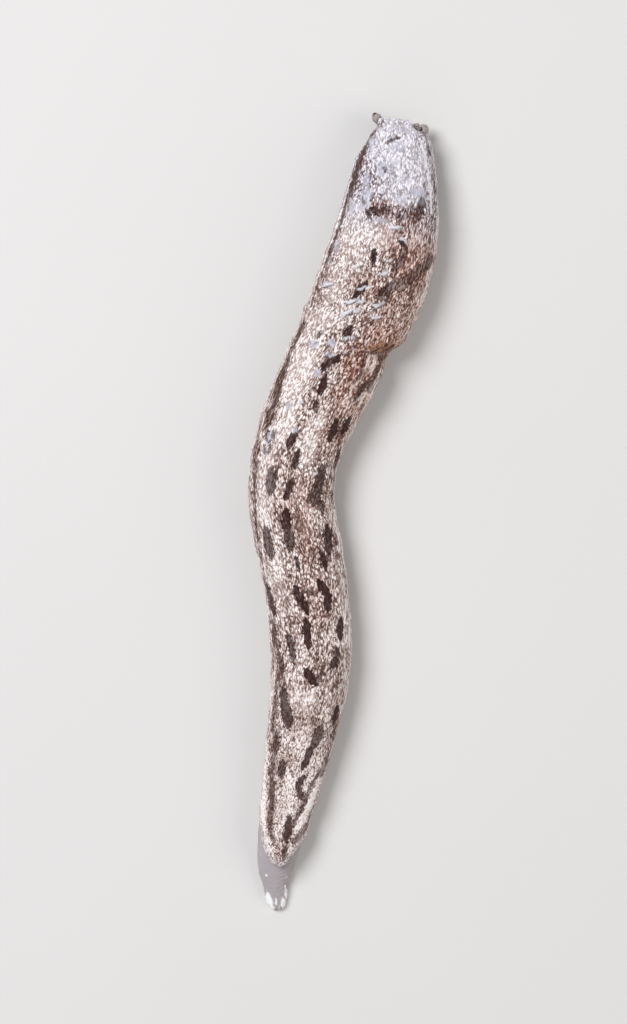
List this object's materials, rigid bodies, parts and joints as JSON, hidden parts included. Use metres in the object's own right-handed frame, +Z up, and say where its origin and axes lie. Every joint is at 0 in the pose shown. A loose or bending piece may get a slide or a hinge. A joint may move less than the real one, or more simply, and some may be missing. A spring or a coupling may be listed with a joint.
{
  "type": "megapallifera slug",
  "caption": "Still, life-size mantleslug with its long mantle, breathing pore, hooded head, short tentacles and bare tail tip, lying on a flat sole.",
  "frame": {"origin": "middle of the plan's box, on the floor that the sole lies on", "axes": "+Y towards the head, +X to the animal's right at its head, +Z up off the floor"},
  "size_m": [0.0154, 0.064, 0.0052],
  "materials": {
    "mantle_skin": "wet, speckled skin with dark blotches",
    "foot_skin": "wet, greyish skin",
    "tail_skin": "wet, grey-lilac, slightly clear skin",
    "head_skin": "wet, brownish grey skin",
    "tentacle_skin": "wet, greyish brown skin",
    "eye": "glossy black"
  },
  "bodies": {
    "root": {"mantle_front": "mantle_skin", "mantle_shoulder": "mantle_skin", "mantle_middle": "mantle_skin", "mantle_rear": "mantle_skin", "foot_front": "foot_skin", "foot_middle": "foot_skin", "foot_rear": "foot_skin", "tail": "tail_skin", "head": "head_skin", "tentacle_upper_left": "tentacle_skin", "tentacle_upper_right": "tentacle_skin", "tentacle_lower_left": "tentacle_skin", "tentacle_lower_right": "tentacle_skin", "eye_left": "eye", "eye_right": "eye"}
  },
  "joints": []
}
